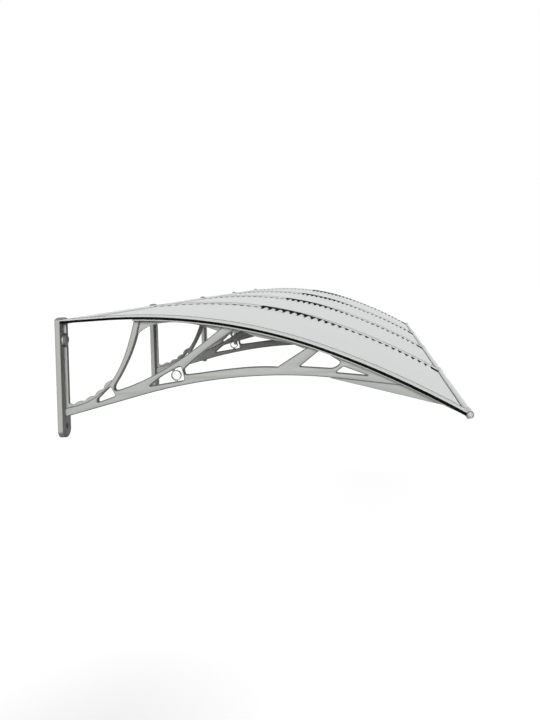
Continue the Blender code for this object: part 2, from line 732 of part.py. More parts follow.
def main():
    remove_all()
    root = bpy.data.objects.new("canopy", None)
    bpy.context.scene.collection.objects.link(root)

    cast = material("bracket_grey", (0.46, 0.47, 0.45), 0.45, 0.0)
    sheet = material("panel_polycarbonate", (0.66, 0.67, 0.67), 0.25, 0.0)
    bar = material("strip_aluminium", (0.62, 0.63, 0.62), 0.40, 0.9)
    rubber = material("seal_rubber", (0.012, 0.012, 0.012), 0.75, 0.0)
    extrusion = material("rail_aluminium", (0.60, 0.61, 0.60), 0.38, 0.9)
    moulded = material("cap_plastic", (0.42, 0.43, 0.41), 0.50, 0.0)
    steel = material("screw_steel", (0.55, 0.55, 0.54), 0.30, 1.0)

    lines = [MODULE_WIDTH * (i - MODULES / 2) for i in range(MODULES + 1)]
    bracket = bracket_mesh()
    strip = strip_mesh()
    cap = bolt_cap_mesh()
    seals = {sides: seal_mesh(*sides) for sides in ((False, True), (True, True), (True, False))}
    for i, x in enumerate(lines):
        place(f"bracket_{i + 1}", bracket, cast, x, root)
        place(f"bolt_cap_{i + 1}", cap, moulded, x, root)
        place(f"seal_{i + 1}", seals[(i > 0, i < MODULES)], rubber, x, root)
        place(f"cover_strip_{i + 1}", strip, bar, x, root)

    panel = panel_mesh()
    beside_post = HALF_POST + FIT
    rear_rail = plate(rear_rail_outline(), beside_post, MODULE_WIDTH - beside_post, "rear_rail")
    for i, x in enumerate(lines[:-1]):
        start = -HALF_POST if i == 0 else FIT
        end = MODULE_WIDTH + (HALF_POST if i == MODULES - 1 else -FIT)
        front_rail = plate(front_rail_outline(), start, end, "front_rail")
        place(f"panel_{i + 1}", panel, sheet, x, root)
        place(f"front_rail_{i + 1}", front_rail, extrusion, x, root)
        place(f"rear_rail_{i + 1}", rear_rail, extrusion, x, root)

    for number, side, line in ((1, -1, lines[0]), (2, 1, lines[-1])):
        x = line + side * HALF_POST
        place(f"rail_end_cap_{number}", end_cap_mesh(side), moulded, x, root)
        place(f"rail_cap_screw_{number}", rail_screw_mesh(side), steel, x, root)


main()
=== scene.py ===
"""Looks of a modular door canopy: arched polycarbonate panels on openwork wall brackets.

The canopy runs along X, its wall faces lie in the plane Y = 0 and it projects towards -Y.
Side sections are drawn in d, the distance out from the wall, and h, the height over a base
line near the lower ends of the wall posts. Along the arch they are measured by s, the length
along the middle line of the seals, and n, the height square to that line. Sizes are in
metres, except for the outlines whose function says that it takes millimetres.
"""

import math

import bmesh
import bpy
import numpy as np
from mathutils import Matrix, Vector
from mathutils.geometry import tessellate_polygon


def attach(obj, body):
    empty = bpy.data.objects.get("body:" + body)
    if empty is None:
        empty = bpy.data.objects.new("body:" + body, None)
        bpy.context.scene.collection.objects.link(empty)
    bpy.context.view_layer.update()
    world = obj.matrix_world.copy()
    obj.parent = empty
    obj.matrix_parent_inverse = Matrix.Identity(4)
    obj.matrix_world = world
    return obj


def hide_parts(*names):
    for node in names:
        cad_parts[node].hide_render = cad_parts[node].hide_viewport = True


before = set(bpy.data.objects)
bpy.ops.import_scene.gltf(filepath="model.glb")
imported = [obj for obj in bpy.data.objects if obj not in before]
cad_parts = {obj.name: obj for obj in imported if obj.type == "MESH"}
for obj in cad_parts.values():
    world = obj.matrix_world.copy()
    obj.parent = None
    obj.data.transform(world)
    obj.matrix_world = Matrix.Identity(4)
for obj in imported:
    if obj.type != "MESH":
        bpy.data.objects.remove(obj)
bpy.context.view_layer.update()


# Brackets
# Five brackets of satin grey plastic, each moulded in one piece: a post that is bolted to the
# wall, an openwork arm with an eyelet, thin webs with scallops, a flange that carries the roof,
# and a cradle under the front rail.

module = 0.6
bracket_lines = [module * (i - 2) for i in range(5)]
origin_height = 0.140
arch_height = 0.2760
arch_tilt = math.radians(2.135)
straight_run = 0.1124
rear_radius = 1.321
front_radius = 2.400
rear_arc_end = straight_run + rear_radius * math.radians(24.15)
rail_at = rear_arc_end + front_radius * math.radians(8.84)
rail_radius = 0.0086
rail_level = 0.0029
fit = 0.0003
seal_low = -0.0025
flange_high, flange_low = -0.0028, -0.0068
flange_start = 0.187
half_post = 0.019
post_depth = 0.013
bolt_height = 0.232


def arch(s):
    """The arch at lengths s: its d, its h and its slope angle.

    A straight run out from the wall at the tilt, then two arcs that each turn the slope
    downwards by their length over their radius.
    """
    s = np.asarray(s, float)
    run = np.minimum(s, straight_run)
    crest = arch_tilt - np.clip(s - straight_run, 0, rear_arc_end - straight_run) / rear_radius
    slope = crest - np.clip(s - rear_arc_end, 0, rail_at - rear_arc_end) / front_radius
    d = run * math.cos(arch_tilt) + rear_radius * (math.sin(arch_tilt) - np.sin(crest))
    h = run * math.sin(arch_tilt) + rear_radius * (np.cos(crest) - math.cos(arch_tilt))
    d = d + front_radius * (np.sin(crest) - np.sin(slope))
    h = h + front_radius * (np.cos(slope) - np.cos(crest))
    return d, h + arch_height, slope


def on_arch(s, n):
    """Points (d, h) at heights n over the arch: its own point plus n along its normal."""
    d, h, slope = arch(s)
    return np.stack([d - n * np.sin(slope), h + n * np.cos(slope)], axis=-1)


def by_rail(radius, degrees):
    """Points (d, h) on circles about the front rail's axis; 0 degrees points on along the arch."""
    turn = np.radians(degrees) + arch(rail_at)[2]
    round_axis = np.stack([np.cos(turn), np.sin(turn)], axis=-1)
    return on_arch(rail_at, rail_level) + np.asarray(radius)[..., None] * round_axis


def bezier(*corners, steps=28):
    """A cubic pulled by four (d, h) points in millimetres, the Bernstein sum of the four."""
    t = np.linspace(0, 1, steps + 1)[:, None]
    a, b, c, e = np.array(corners, float) * 0.001
    return a * (1 - t) ** 3 + b * 3 * t * (1 - t) ** 2 + c * 3 * t**2 * (1 - t) + e * t**3


def line(*corners, gap=0.004):
    """Straight stretches between points in metres, with a point about every gap."""
    corners = np.array(corners, float)
    reach = np.r_[0, np.cumsum(np.linalg.norm(np.diff(corners, axis=0), axis=1))]
    at = np.linspace(0, reach[-1], max(2, int(reach[-1] / gap) + 2))
    at = np.unique(np.r_[at, reach])
    return np.stack([np.interp(at, reach, corners[:, k]) for k in (0, 1)], axis=-1)


def rounded(corners, reaches, steps=7):
    """A closed outline in millimetres whose corners are cut back by their reach and bridged.

    Each bridge is the parabola between the two cut points that the corner pulls.
    """
    corners = np.array(corners, float) * 0.001
    reach = np.array(reaches, float)[:, None] * 0.001
    back = np.roll(corners, 1, axis=0) - corners
    ahead = np.roll(corners, -1, axis=0) - corners
    back = corners + back / np.linalg.norm(back, axis=1, keepdims=True) * reach
    ahead = corners + ahead / np.linalg.norm(ahead, axis=1, keepdims=True) * reach
    t = np.linspace(0, 1, steps + 1)[None, :, None]
    bridges = back[:, None] * (1 - t) ** 2 + corners[:, None] * 2 * t * (1 - t)
    return (bridges + ahead[:, None] * t**2).reshape(-1, 2)


def circle(middle, radius, steps=48):
    """A full circle: the middle plus the radius times the cosine and sine of the turn."""
    turn = np.linspace(0, 2 * math.pi, steps, endpoint=False)
    return np.array(middle) + radius * np.stack([np.cos(turn), np.sin(turn)], axis=-1)


def ring_faces(rows, around, first=0):
    """Faces of a grid whose rows close on themselves, numbered row by row from first."""
    row = np.arange(rows - 1)[:, None] * around + first
    i = np.arange(around)[None, :]
    j = (i + 1) % around
    faces = np.stack([row + i, row + j, row + around + j, row + around + i], axis=-1)
    return faces.reshape(-1, 4).tolist()


def slab(outlines, thickness, edge, steps=3):
    """A flat slab cut to outlines, the first round its outside and the rest round its holes.

    At turn a from 0 to 90 degrees over each rim, the outline draws in by edge (1 - cos a) while
    the level nears the face by edge sin a, so the rims are quarter rounds. Both faces are
    filled between the outlines. Returns (u, v, w) points, w square to the slab, the faces and
    the number of the first flat one.
    """
    turn = np.linspace(0, math.pi / 2, steps + 1)
    inset = edge * (1 - np.cos(turn))
    level = thickness / 2 - edge + edge * np.sin(turn)
    inset, level = np.r_[inset[::-1], inset], np.r_[-level[::-1], level]
    points, faces, lower, upper, flats = [], [], [], [], []
    first = 0
    for number, outline in enumerate(outlines):
        outline = np.asarray(outline, float)
        keep = np.linalg.norm(outline - np.roll(outline, 1, axis=0), axis=1) > 1e-6
        outline = outline[keep]
        ahead = np.roll(outline, -1, axis=0) - outline
        area = np.sum(outline[:, 0] * ahead[:, 1] - outline[:, 1] * ahead[:, 0])
        if (area > 0) != (number == 0):
            outline = outline[::-1]
            ahead = np.roll(outline, -1, axis=0) - outline
        ahead /= np.linalg.norm(ahead, axis=1, keepdims=True)
        inward = np.stack([-ahead[:, 1], ahead[:, 0]], axis=-1)
        before = np.roll(inward, 1, axis=0)
        share = np.maximum(1 + np.sum(inward * before, axis=1, keepdims=True), 0.6)
        inward = (inward + before) / share
        rings = outline[None] + inset[:, None, None] * inward[None]
        levels = np.broadcast_to(level[:, None, None], (*rings.shape[:2], 1))
        points.append(np.concatenate([rings, levels], axis=-1).reshape(-1, 3))
        faces += ring_faces(len(level), len(outline), first)
        flats.append([Vector((u, v, 0)) for u, v in rings[0]])
        lower += list(range(first, first + len(outline)))
        last = first + len(outline) * (len(level) - 1)
        upper += list(range(last, last + len(outline)))
        first = last + len(outline)
    flat_from = len(faces)
    for triangle in tessellate_polygon(flats):
        faces.append([lower[k] for k in triangle])
        faces.append([upper[k] for k in triangle])
    return np.vstack(points), faces, flat_from


def beam(grid):
    """A closed section carried through stations: grid[station, point, xyz], with flat ends."""
    rows, around = grid.shape[:2]
    faces = ring_faces(rows, around)
    flat_from = len(faces)
    faces.append(list(range(around)))
    faces.append(list(range((rows - 1) * around, rows * around)))
    return grid.reshape(-1, 3), faces, flat_from


def side_on(part, x=0.0):
    """A slab of (d, h) points set upright, its thickness running along the canopy."""
    points, faces, flat_from = part
    d, h, w = points.T
    return np.stack([x + w, -d, h - origin_height], axis=-1), faces, flat_from


def place(x, section):
    """(d, h) points set at distances x along the canopy, as x, minus d, and h over the origin."""
    x = np.broadcast_to(x, section.shape[:-1])
    return np.stack([x, -section[..., 0], section[..., 1] - origin_height], axis=-1)


def box_section(half_width, low, high, radius, steps=3):
    """A rectangle with quarter-round corners, as (x, level) points."""
    turn = np.linspace(0, math.pi / 2, steps + 1)
    quarter = radius * np.stack([np.cos(turn), np.sin(turn)], axis=-1)
    points = []
    for x, n, flip_x, flip_n in (
        (half_width, high, 1, 1),
        (-half_width, high, -1, 1),
        (-half_width, low, -1, -1),
        (half_width, low, 1, -1),
    ):
        corner = quarter if flip_x == flip_n else quarter[::-1]
        centre = np.array([x - flip_x * radius, n - flip_n * radius])
        points.append(centre + corner * np.array([flip_x, flip_n]))
    return np.vstack(points)


def make_piece(name, parts, skin, sharp=40):
    """One mesh object from parts of (points, faces, first flat face), faces turned outwards.

    The faces before the first flat one are shaded smooth, except over edges that turn by more
    than sharp, in degrees.
    """
    points, faces, smooth, first = [], [], [], 0
    for part_points, part_faces, flat_from in parts:
        points.append(part_points)
        faces += [[first + k for k in face] for face in part_faces]
        smooth += [number < flat_from for number in range(len(part_faces))]
        first += len(part_points)
    mesh = bpy.data.meshes.new(name)
    mesh.from_pydata(np.vstack(points).tolist(), [], faces)
    mesh.polygons.foreach_set("use_smooth", smooth)
    bm = bmesh.new()
    bm.from_mesh(mesh)
    bmesh.ops.remove_doubles(bm, verts=bm.verts, dist=1e-7)
    bmesh.ops.recalc_face_normals(bm, faces=bm.faces)
    bm.to_mesh(mesh)
    bm.free()
    mesh.set_sharp_from_angle(angle=math.radians(sharp))
    mesh.materials.append(skin)
    piece = bpy.data.objects.new(name, mesh)
    bpy.context.scene.collection.objects.link(piece)
    return piece


def fit_piece(piece, slot, *cad_nodes):
    """Puts a finished piece on the canopy in place of its plain solids."""
    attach(piece, "root")
    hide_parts(*cad_nodes)


def twin(piece, name, x):
    """The same piece again, its mesh moved along the canopy."""
    mesh = piece.data.copy()
    mesh.transform(Matrix.Translation((x, 0, 0)))
    again = bpy.data.objects.new(name, mesh)
    bpy.context.scene.collection.objects.link(again)
    return again


def finish(name, light, dark, roughness, metallic=0.0, ior=1.5, gloss=0.5, cloud=9.0, grain=900.0,
           relief=0.06, depth=0.0004, stretch=(1, 1, 1), on_uv=False, rims=1.0, front=1.0,
           facing=0.96):
    """A surface whose colour drifts between two close tones and whose gloss and grain vary.

    Broad clouds of noise mix the two tones, a finer noise moves the roughness between its two
    ends, and a fine stretched noise gives the relief. Where rims is below 1, shade is painted
    into the colour by the way each face turns: the faces that look along the canopy, within the
    turn whose cosine is facing, keep the whole colour, those that look straight out from the
    wall have it times front, and the rest has it times rims.
    """
    skin = bpy.data.materials.new(name)
    skin.use_nodes = True
    tree = skin.node_tree
    shader = tree.nodes["Principled BSDF"]
    shader.inputs["Metallic"].default_value = metallic
    shader.inputs["IOR"].default_value = ior
    shader.inputs["Specular IOR Level"].default_value = gloss
    where = tree.nodes.new("ShaderNodeTexCoord")
    placed = tree.nodes.new("ShaderNodeMapping")
    placed.inputs["Scale"].default_value = stretch
    tree.links.new(where.outputs["UV" if on_uv else "Object"], placed.inputs["Vector"])

    def noise(scale, detail):
        made = tree.nodes.new("ShaderNodeTexNoise")
        made.inputs["Scale"].default_value = scale
        made.inputs["Detail"].default_value = detail
        tree.links.new(placed.outputs["Vector"], made.inputs["Vector"])
        return made.outputs["Fac"]

    tones = tree.nodes.new("ShaderNodeMix")
    tones.data_type = "RGBA"
    tones.inputs["A"].default_value = (*dark, 1)
    tones.inputs["B"].default_value = (*light, 1)
    tree.links.new(noise(cloud, 5), tones.inputs["Factor"])
    colour = tones.outputs["Result"]
    # Painted shade: faces turned away from the canopy's length and from the wall's outward direction get a
    # darker colour
    if rims < 1:
        geometry = tree.nodes.new("ShaderNodeNewGeometry")
        along = tree.nodes.new("ShaderNodeSeparateXYZ")
        tree.links.new(geometry.outputs["Normal"], along.inputs[0])
        brightest = tree.nodes.new("ShaderNodeMath")
        brightest.operation = "MAXIMUM"
        square_on, narrower = 0.998, 0.025
        ways = ("X", facing, 1.0), ("Y", facing + narrower, front)
        for number, (way, least, share) in enumerate(ways):
            either = tree.nodes.new("ShaderNodeMath")
            either.operation = "ABSOLUTE"
            tree.links.new(along.outputs[way], either.inputs[0])
            shade_ramp = tree.nodes.new("ShaderNodeMapRange")
            shade_ramp.inputs["From Min"].default_value = least
            shade_ramp.inputs["From Max"].default_value = square_on
            shade_ramp.inputs["To Min"].default_value = rims
            shade_ramp.inputs["To Max"].default_value = share
            tree.links.new(either.outputs[0], shade_ramp.inputs["Value"])
            tree.links.new(shade_ramp.outputs["Result"], brightest.inputs[number])
        painted_shade = tree.nodes.new("ShaderNodeVectorMath")
        painted_shade.operation = "SCALE"
        tree.links.new(colour, painted_shade.inputs[0])
        tree.links.new(brightest.outputs[0], painted_shade.inputs["Scale"])
        colour = painted_shade.outputs["Vector"]
    tree.links.new(colour, shader.inputs["Base Color"])
    sheen = tree.nodes.new("ShaderNodeMapRange")
    sheen.inputs["From Min"].default_value = 0.3
    sheen.inputs["From Max"].default_value = 0.7
    sheen.inputs["To Min"].default_value = roughness[0]
    sheen.inputs["To Max"].default_value = roughness[1]
    tree.links.new(noise(cloud * 4, 6), sheen.inputs["Value"])
    tree.links.new(sheen.outputs["Result"], shader.inputs["Roughness"])
    bump = tree.nodes.new("ShaderNodeBump")
    bump.inputs["Strength"].default_value = relief
    bump.inputs["Distance"].default_value = depth
    tree.links.new(noise(grain, 3), bump.inputs["Height"])
    tree.links.new(bump.outputs["Normal"], shader.inputs["Normal"])
    return skin


# Arm: its underside is straight off the post, then one long arc over a crown, then straight on
arm_radius = 1.250
crown = np.array([0.502, 0.1302])
rear_turn, front_turn = 14.0, -8.3
frame_top, web_top = -0.0035, -0.0040
turns = np.radians(np.linspace(rear_turn, front_turn, 80))
arc = crown + arm_radius * np.stack([-np.sin(turns), np.cos(turns) - 1], axis=-1)
in_post = 0.012
root = [in_post, arc[0, 1] - (arc[0, 0] - in_post) * math.tan(turns[0])]
ahead = arc[-1] + np.linspace(0.002, 0.30, 300)[:, None] * [1, math.tan(turns[-1])]
flange_line = on_arch(np.linspace(flange_start + 0.001, rail_at, 400), frame_top)
ahead = ahead[ahead[:, 1] < np.interp(ahead[:, 0], *flange_line.T)]
underside = np.vstack([line(root, arc[0])[:-1], arc, ahead])
sweep_pull = (23, 70.3), (130, 85.3), (161.3, 179.8), (185.2, 275)
sweep = bezier(*sweep_pull, steps=60)


def under_flange_line(points):
    """The points of an open outline that lie below the line where the frame ends in the flange."""
    return points[points[:, 1] < np.interp(points[:, 0], *flange_line.T)]


# Openings between the struts that run up to the flange, each from its front end to its rear one
second_bay = np.vstack([
    line((0.440, 0.282), (0.399, 0.252), gap=0.0005)[:-1],
    bezier((399, 252), (321, 191), (238, 134.5), (145, 108), steps=60),
    bezier((140.8, 107), (134.9, 105.7), (132.5, 108), (133.5, 113.9), steps=8),
    bezier((135.3, 120), (166.3, 167), (189.3, 217), (199.3, 272), steps=40),
    line((0.1993, 0.272), (0.201, 0.310), gap=0.0005)[1:],
])
long_bay = np.vstack([
    line((0.640, 0.226), (0.602, 0.195), gap=0.0005)[:-1],
    bezier((602, 195), (578, 180), (553, 165.5), (529, 150.3), steps=20)[:-1],
    bezier((529, 150.3), (454, 157.3), (372, 144.5), (310, 139), steps=50)[:-1],
    bezier((306.9, 139.7), (302.9, 140.5), (301.4, 143), (302.2, 146.9), steps=10),
    bezier((303.5, 153), (337, 186), (381, 213), (423, 241), steps=40),
    line((0.423, 0.241), (0.505, 0.300), gap=0.0005)[1:],
])
bays = [under_flange_line(bay) for bay in (long_bay, second_bay)]

# Outline: out along the underside, back under the flange and round both bays, down the sweep
edge = [underside]
behind = underside[-1, 0] - 0.004
for bay in [*bays, None]:
    until = flange_line[0, 0] if bay is None else bay[0, 0]
    span = flange_line[(flange_line[:, 0] < behind) & (flange_line[:, 0] > until + 0.0005)]
    edge.append(span[::-1])
    if bay is not None:
        edge.append(bay)
        behind = bay[-1, 0] - 0.0005
edge += [sweep[::-1], np.array([[in_post, 0.0675]])]

# Four windows with rounded corners
holes = [
    rounded([(123.3, 116.5), (135.3, 93.2), (91, 79), (92, 87.5)], (5, 6, 4, 3)),
    rounded([(218, 114), (304, 125.5), (295, 161), (246, 136)], (4, 8, 6, 10)),
    rounded([(583.5, 149.8), (630.5, 186), (652, 178.2), (683, 157), (668, 141.8)], (3, 5, 6, 7, 14)),
    rounded([(688.5, 146.5), (748, 122.5), (669.5, 132.2)], (3, 3, 5)),
]
frame_thickness, frame_edge = 0.014, 0.0027
bracket_parts = [side_on(slab([np.vstack(edge), *holes], frame_thickness, frame_edge))]

# Eyelet: a thin ring in the arm's second window, tied to the window's edges by two short tabs.
# The tabs, and the scallops below, are a little thinner than what they meet.
web_thickness, web_edge, thinner = 0.005, 0.0005, 0.0002
eye = np.array([0.2822, 0.1377])
eye_radius, eye_bore, eye_edge = 0.0124, 0.0103, 0.0006
tab_in, tab_out, half_tab = 0.0010, 0.0065, 0.0030
ring = [circle(eye, eye_radius), circle(eye, eye_bore)]
bracket_parts.append(side_on(slab(ring, web_thickness, eye_edge)))
for turn in np.radians([268, 118]):
    out_way = np.array([math.cos(turn), math.sin(turn)])
    across = np.array([-out_way[1], out_way[0]]) * half_tab
    near, far = eye + out_way * (eye_radius - tab_in), eye + out_way * (eye_radius + tab_out)
    tab = line(near + across, near - across, far - across, far + across, near + across, gap=0.001)
    bracket_parts.append(side_on(slab([tab[:-1]], web_thickness - thinner, web_edge)))

# Webs: a rib up the post, left out around the bolt cap, five scallops along the frame's rear edge
# and two thin webs under the flange
rib = post_depth + 0.0070
round_cap = 0.017
rib_low, rib_high = bolt_height - round_cap, bolt_height + round_cap
rib_top = on_arch(rib, seal_low - fit)[1]
ribs = [
    [(in_post, 0.0475), (0.024, 0.055), (0.027, 0.068), (rib, 0.080), (rib, rib_low), (in_post, rib_low)],
    [(in_post, rib_high), (rib, rib_high), (rib, rib_top), (in_post, rib_top)],
]
for outline in ribs:
    outline = line(*outline, outline[0])[:-1]
    bracket_parts.append(side_on(slab([outline], web_thickness, web_edge)))

pitch, scallop_height, scallop_foot, scallop_root = 0.0280, 0.0048, 0.0034, 0.0035
lobes, first_lobe, run_back = 5, -0.67, 0.019
path = bezier(*sweep_pull, steps=600)
step = path[1] - path[0]
path = np.vstack([path[0] - step / np.linalg.norm(step) * run_back, path])
reach = np.r_[0, np.cumsum(np.linalg.norm(np.diff(path, axis=0), axis=1))] - run_back
count = np.linspace(0, lobes, lobes * 14 + 1)
foot = np.stack([np.interp((count + first_lobe) * pitch, reach, path[:, k]) for k in (0, 1)], axis=-1)
square = np.gradient(foot, axis=0)
square = np.stack([-square[:, 1], square[:, 0]], axis=-1)
square /= np.linalg.norm(square, axis=1, keepdims=True)
rise = np.abs(np.sin(math.pi * count))[:, None]
crests = foot + square * (scallop_foot + scallop_height * rise)
scallops = np.vstack([crests, (foot - square * scallop_root)[::-1]])
bracket_parts.append(side_on(slab([scallops], web_thickness - 2 * thinner, 0.0004)))


def below_flange(d_from, d_to, depth):
    """Points that follow the flange's underside at a depth below it, from one d to another."""
    s = np.linspace(0, rail_at, 900)
    ends = np.interp([d_from, d_to], arch(s)[0], s)
    return on_arch(np.linspace(*ends, 30), flange_low - depth)


rear_web = np.vstack([
    bezier((188, 236), (222, 277), (292, 270), (352, 255.5), steps=50),
    line((0.352, 0.2555), (0.396, 0.238), (0.430, 0.238))[1:],
    bezier((441, 243), (486, 212), (545, 219.5), (592, 192.5), steps=50),
    below_flange(0.612, 0.700, 0.0012),
])
web_line = on_arch(np.linspace(flange_start + 0.004, rail_at, 300), web_top)
rear_web = np.vstack([rear_web, web_line[web_line[:, 0] < rear_web[-1, 0] - 0.004][::-1]])
front_web = np.vstack([
    line((0.645, 0.125), (0.660, 0.1175))[:-1],
    bezier((660, 117.5), (740, 95.5), (838, 69), (895, 52.8), steps=40),
    below_flange(0.938, 0.968, 0.0004),
    on_arch(np.linspace(rail_at - 0.012, 0.800, 60), web_top),
    line((0.748, 0.115), (0.690, 0.122)),
])
for outline in (rear_web, front_web):
    bracket_parts.append(side_on(slab([outline], web_thickness, web_edge)))

# Flange: its top follows the arch, and its front end is thinner and hollowed to bed the rail
bed = rail_radius + fit
thin_from, thin_to, thin_low = 0.94, 0.965, -0.0048
stations = np.r_[np.linspace(flange_start, rail_at - 0.012, 130), rail_at - np.linspace(0.011, 0.001, 20)]
hollow = rail_level - np.sqrt(np.maximum(bed**2 - (rail_at - stations) ** 2, 1e-9))
top = np.where(rail_at - stations < bed, np.minimum(flange_high, hollow), flange_high)

# At each station the section is a box whose level is stretched between the bottom and the top
half_flange = (flange_high - flange_low) / 2
across = box_section(half_post, -half_flange, half_flange, 0.0007)
share = (across[:, 1] + half_flange) / (2 * half_flange)
bottom = np.interp(arch(stations)[0], [thin_from, thin_to], [flange_low, thin_low])
level = bottom[:, None] + share[None] * (top - bottom)[:, None]
grid = place(across[None, :, 0], on_arch(np.broadcast_to(stations[:, None], level.shape), level))
bracket_parts.append(beam(grid))

# Cradle: a curved lip across the bracket's full width, under the front rail
cradle_wall = 0.0024
turns = np.linspace(215, 283, 24)
under_rail = by_rail(np.full(24, bed + cradle_wall), turns)
cradle = np.vstack([under_rail, by_rail(np.full(24, bed), turns[::-1])])
bracket_parts.append(side_on(slab([cradle], 2 * half_post, web_edge)))

# Post: full round lower end with a slot for a screw, gently arched top, bore for the upper bolt
post_top, post_foot, top_arch, post_edge = 0.2877, -0.0035, 0.006, 0.0010
bolt_bore, slot_radius, slot_low, slot_high = 0.0050, 0.003, 0.0215, 0.0265
turns = np.linspace(math.pi, 2 * math.pi, 33)
low_end = half_post * np.stack([np.cos(turns), 1 + np.sin(turns)], axis=-1) + [0, post_foot]
turns = np.linspace(0, math.pi, 21)
top_end = np.stack([half_post * np.cos(turns), post_top - top_arch * (1 - np.sin(turns))], axis=-1)
turns = np.linspace(0, math.pi, 12)
slot_end = slot_radius * np.stack([np.cos(turns), np.sin(turns)], axis=-1)
slot = np.vstack([slot_end + [0, slot_high], -slot_end + [0, slot_low]])
sides = line(low_end[-1], top_end[0])[1:-1], line(top_end[-1], low_end[0])[1:-1]
bar = np.vstack([low_end, sides[0], top_end, sides[1]])
post = slab([bar, slot, circle((0, bolt_height), bolt_bore)], post_depth, post_edge)

# The slab's three directions run along the canopy, up, and out from the wall
u, v, w = post[0].T
bracket_parts.append((np.stack([u, -post_depth / 2 - w, v - origin_height], axis=-1), *post[1:]))

# Painted shade: the brackets' rims and edges are darkened to rims, and their faces square to the wall a
# little, to front
cast_grey = finish("cast_grey", (0.475, 0.486, 0.462), (0.435, 0.445, 0.424), (0.38, 0.52), cloud=7.0,
                   grain=1400.0, relief=0.10, depth=0.0003, rims=0.38, front=0.95)
bracket = make_piece("bracket_casting_1", bracket_parts, cast_grey)
bracket.data.transform(Matrix.Translation((bracket_lines[0], 0, 0)))
castings = [bracket] + [twin(bracket, f"bracket_casting_{i + 1}", module * i) for i in range(1, 5)]
for i, casting in enumerate(castings):
    fit_piece(casting, "bracket_grey", f"bracket_{i + 1}")


# Bolt caps
# Domed caps of moulded plastic, one over the head of each upper wall bolt. A stem behind each
# goes into the post's bore and holds it.

cap_radius, cap_dome, cap_edge = 0.0145, 0.0080, 0.0004
stem_end, stem_radius = -0.0060, 0.0047


def turned(profile, middle, axis, steps=64):
    """A profile of (distance along the axis, radius) points turned once about the axis.

    Each point is the middle, plus the distance along the axis, plus the radius times the
    cosine and sine of the turn along two directions square to the axis.
    """
    profile = np.array(profile, float)
    axis = np.array(axis, float)
    up = np.array([0.0, 0.0, 1.0])
    turn = np.linspace(0, 2 * math.pi, steps, endpoint=False)[None, :, None]
    spoke = np.cos(turn) * up + np.sin(turn) * np.cross(axis, up)
    ring = np.array(middle) + profile[:, :1, None] * axis + profile[:, 1:, None] * spoke
    return beam(ring)


# The dome rises with the sine of the turn, from a quarter of its height to the whole, and draws
# in with a power of the cosine
turns = np.linspace(0, math.pi / 2, 16)
dome = np.stack([cap_dome * (0.25 + 0.75 * np.sin(turns)), cap_radius * np.cos(turns) ** 0.9], axis=-1)
dome[-1, 1] = 0
profile = [(stem_end, 0), (stem_end, stem_radius), (fit, stem_radius), (fit, cap_radius - cap_edge),
           (fit + cap_edge, cap_radius), *dome]
# Painted shade: the caps' domes darken as they turn away from the canopy's length and from the wall's
# outward direction
cap_grey = finish("cap_grey", (0.60, 0.61, 0.59), (0.56, 0.57, 0.55), (0.30, 0.42), cloud=30.0,
                  grain=1800.0, relief=0.06, depth=0.0002, rims=0.22, facing=0.66)
for i, x in enumerate(bracket_lines):
    part = turned(profile, (x, -post_depth, bolt_height - origin_height), (0, -1, 0))
    fit_piece(make_piece(f"bolt_dome_{i + 1}", [part], cap_grey), "cap_plastic", f"bolt_cap_{i + 1}")


# Panels
# Arched polycarbonate sheets, pale and opaque, their far edge crimped into ripples that fade
# out inwards. They slide into the seals, the rear rail and the front rail.

rest_start = post_depth + fit
seal_stem = 0.004
panel_low, panel_high = -0.0014, 0.0006
rail_mouth = 0.0036
panel_start, panel_end = rest_start + fit, rail_at - rail_mouth - fit
ripples, ripple_pitch, crest_from = 40, 0.02455, 0.42
ripples_from = panel_start + 0.0109
ripples_to = ripples_from + ripples * ripple_pitch
ripple_foot = module - half_post - 0.0015
ripple_top = ripple_foot - 0.0085
ripple_fade = ripple_top - 0.120
edge_x = seal_stem + fit

waves = ripples_from + ripple_pitch * np.arange(ripples * 12 + 1) / 12
stations = np.r_[panel_start, (panel_start + ripples_from) / 2, waves, ripples_to + 0.010, panel_end]
across = np.r_[np.linspace(edge_x, ripple_fade, 12)[:-1], np.linspace(ripple_fade, ripple_top, 22)[:-1],
               np.linspace(ripple_top, ripple_foot, 7), module - 0.0125, module - edge_x]


def ripple_height(s):
    """Full height of the ripples at lengths s: round crests over flat valleys.

    A crest is the part of a half sine above crest_from, stretched so that it grows from
    nothing to a depth that changes along the sheet.
    """
    wave = np.abs(np.sin(math.pi * (s - ripples_from) / ripple_pitch))
    depth = np.interp(arch(s)[0], [0.27, 0.37, 0.40, 0.60, 0.73, 0.88, 0.97],
                      [0.0026, 0.0028, 0.0046, 0.0050, 0.0040, 0.0050, 0.0050])
    inside = (s > ripples_from + 1e-6) & (s < ripples_to - 1e-6)
    return np.where(inside, depth * np.clip((wave - crest_from) / (1 - crest_from), 0, 1), 0.0)


def crimp(s, x):
    """Height of the crimped edge: the ripples times how far they have risen across the sheet.

    The rise grows with a power of the way across the fade, and drops to nothing with a power of
    the way left to the foot beside the bracket.
    """
    grow = np.clip((x - ripple_fade) / (ripple_top - ripple_fade), 0, 1)
    fall = np.clip((ripple_foot - x) / (ripple_foot - ripple_top), 0, 1)
    return ripple_height(s) * grow**1.6 * fall**0.8


s, x = np.meshgrid(stations, across, indexing="ij")
rise = crimp(s, x)
upper = place(x, on_arch(s, panel_high + rise))
lower = place(x, on_arch(s, panel_low + rise))
sheet = beam(np.concatenate([upper, lower[:, ::-1]], axis=1))
pale_sheet = finish("pale_sheet", (0.660, 0.672, 0.666), (0.650, 0.662, 0.656), (0.34, 0.40), ior=1.58,
                    gloss=0.25, cloud=2.2, grain=30.0, relief=0.01, depth=0.0003)
panel = make_piece("crimped_panel_1", [sheet], pale_sheet, sharp=50)
panel.data.transform(Matrix.Translation((bracket_lines[0], 0, 0)))
panels = [panel] + [twin(panel, f"crimped_panel_{i + 1}", module * i) for i in range(1, 4)]
for i, made in enumerate(panels):
    fit_piece(made, "panel_polycarbonate", f"panel_{i + 1}")
